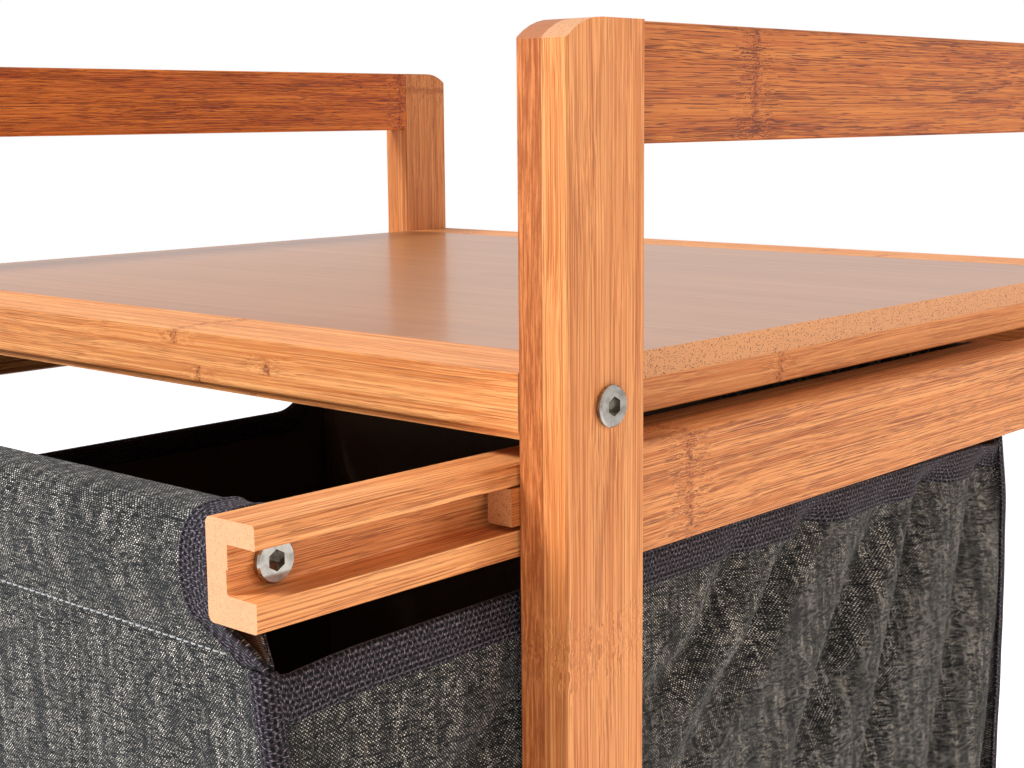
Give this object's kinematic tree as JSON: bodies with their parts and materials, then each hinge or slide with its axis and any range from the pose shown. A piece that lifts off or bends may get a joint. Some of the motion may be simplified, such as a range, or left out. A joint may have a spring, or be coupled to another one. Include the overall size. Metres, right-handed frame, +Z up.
{
  "type": "laundry sorter on wheels",
  "caption": "Bamboo laundry cart with raised handle rails and a top board; a fabric bag hangs in a drawer frame that slides out on grooved runners, over swivel casters.",
  "frame": {"origin": "on the floor, under the middle of the whole object with its drawer ajar as it rests", "axes": "+X to the cart's right as seen from its front, +Y from the front to the back, +Z up; the drawer slides out towards -Y"},
  "size_m": [0.487, 0.5164, 0.76],
  "materials": {
    "bamboo": "fine-grained laminated bamboo, satin",
    "board": "laminated bamboo, smooth satin lacquer",
    "bolt_steel": "satin nickel-plated steel",
    "insert_brass": "plain turned brass",
    "dowel_wood": "plain turned hardwood",
    "caster_steel": "bright zinc-plated pressed steel",
    "washer_nylon": "plain",
    "hub_plastic": "fine moulded",
    "tread": "smooth grey tread",
    "brake_plastic": "fine moulded, ribbed pedal",
    "bag_cloth": "charcoal melange plain weave outside, dark lining inside",
    "bag_tape": "dark mesh tape with rows of small holes",
    "base_board": "stiff board under dark lining"
  },
  "bodies": {
    "frame": {"post_front_right": "bamboo", "post_front_left": "bamboo", "post_back_right": "bamboo", "post_back_left": "bamboo", "handle_rail_right": "bamboo", "handle_rail_left": "bamboo", "upper_side_rail_right": "bamboo", "upper_side_rail_left": "bamboo", "lower_side_rail_right": "bamboo", "lower_side_rail_left": "bamboo", "board_batten_right": "board", "board_batten_left": "board", "runner_right": "bamboo", "runner_left": "bamboo", "board_panel": "board", "board_front_rail": "board", "board_back_rail": "board", "lower_front_stretcher": "bamboo", "lower_back_stretcher": "bamboo", "rear_stop_rail": "bamboo", "frame_bolts": "bolt_steel", "frame_inserts": "insert_brass", "rail_dowels": "dowel_wood", "runner_screws": "bolt_steel", "caster_stems": "caster_steel", "caster_inserts": "insert_brass", "swivel_washers": "washer_nylon"},
    "drawer": {"channel_right": "bamboo", "channel_left": "bamboo", "crossbar_front": "bamboo", "crossbar_back": "bamboo", "channel_bolts": "bolt_steel", "crossbar_inserts": "insert_brass", "bag_front_panel": "bag_cloth", "bag_back_panel": "bag_cloth", "bag_right_panel": "bag_cloth", "bag_left_panel": "bag_cloth", "bag_bottom": "bag_cloth", "bag_base_board": "base_board", "side_bindings": "bag_tape", "sleeve_bindings": "bag_tape", "corner_bindings": "bag_tape"},
    "fork_front_right": {"fork_front_right": "caster_steel", "axle_front_right": "caster_steel"},
    "wheel_front_right": {"wheel_hub_front_right": "hub_plastic", "tyre_front_right": "tread"},
    "fork_front_left": {"fork_front_left": "caster_steel", "axle_front_left": "caster_steel"},
    "wheel_front_left": {"wheel_hub_front_left": "hub_plastic", "tyre_front_left": "tread"},
    "fork_back_right": {"fork_back_right": "caster_steel", "axle_back_right": "caster_steel"},
    "wheel_back_right": {"wheel_hub_back_right": "hub_plastic", "tyre_back_right": "tread"},
    "fork_back_left": {"fork_back_left": "caster_steel", "axle_back_left": "caster_steel"},
    "wheel_back_left": {"wheel_hub_back_left": "hub_plastic", "tyre_back_left": "tread"},
    "brake_front_right": {"brake_lever_front_right": "brake_plastic"},
    "brake_front_left": {"brake_lever_front_left": "brake_plastic"}
  },
  "joints": [
    {"name": "drawer_slide", "type": "slide", "parent": "frame", "child": "drawer", "axis": [0, -1, 0], "range_m": [-0.0883, 0.21]},
    {"name": "swivel_front_right", "type": "hinge", "parent": "frame", "child": "fork_front_right", "pos_m": [0.2285, -0.14785, 0.06], "axis": [0, 0, 1], "continuous": true},
    {"name": "roll_front_right", "type": "hinge", "parent": "fork_front_right", "child": "wheel_front_right", "pos_m": [0.2285, -0.16385, 0.025], "axis": [1, 0, 0], "continuous": true},
    {"name": "swivel_front_left", "type": "hinge", "parent": "frame", "child": "fork_front_left", "pos_m": [-0.2285, -0.14785, 0.06], "axis": [0, 0, 1], "continuous": true},
    {"name": "roll_front_left", "type": "hinge", "parent": "fork_front_left", "child": "wheel_front_left", "pos_m": [-0.2285, -0.16385, 0.025], "axis": [1, 0, 0], "continuous": true},
    {"name": "swivel_back_right", "type": "hinge", "parent": "frame", "child": "fork_back_right", "pos_m": [0.2285, 0.24115, 0.06], "axis": [0, 0, 1], "continuous": true},
    {"name": "roll_back_right", "type": "hinge", "parent": "fork_back_right", "child": "wheel_back_right", "pos_m": [0.2285, 0.22515, 0.025], "axis": [1, 0, 0], "continuous": true},
    {"name": "swivel_back_left", "type": "hinge", "parent": "frame", "child": "fork_back_left", "pos_m": [-0.2285, 0.24115, 0.06], "axis": [0, 0, 1], "continuous": true},
    {"name": "roll_back_left", "type": "hinge", "parent": "fork_back_left", "child": "wheel_back_left", "pos_m": [-0.2285, 0.22515, 0.025], "axis": [1, 0, 0], "continuous": true},
    {"name": "brake_front_right", "type": "hinge", "parent": "fork_front_right", "child": "brake_front_right", "pos_m": [0.2285, -0.17385, 0.053], "axis": [1, 0, 0], "range_deg": [0, 10]},
    {"name": "brake_front_left", "type": "hinge", "parent": "fork_front_left", "child": "brake_front_left", "pos_m": [-0.2285, -0.17385, 0.053], "axis": [1, 0, 0], "range_deg": [0, 10]}
  ]
}
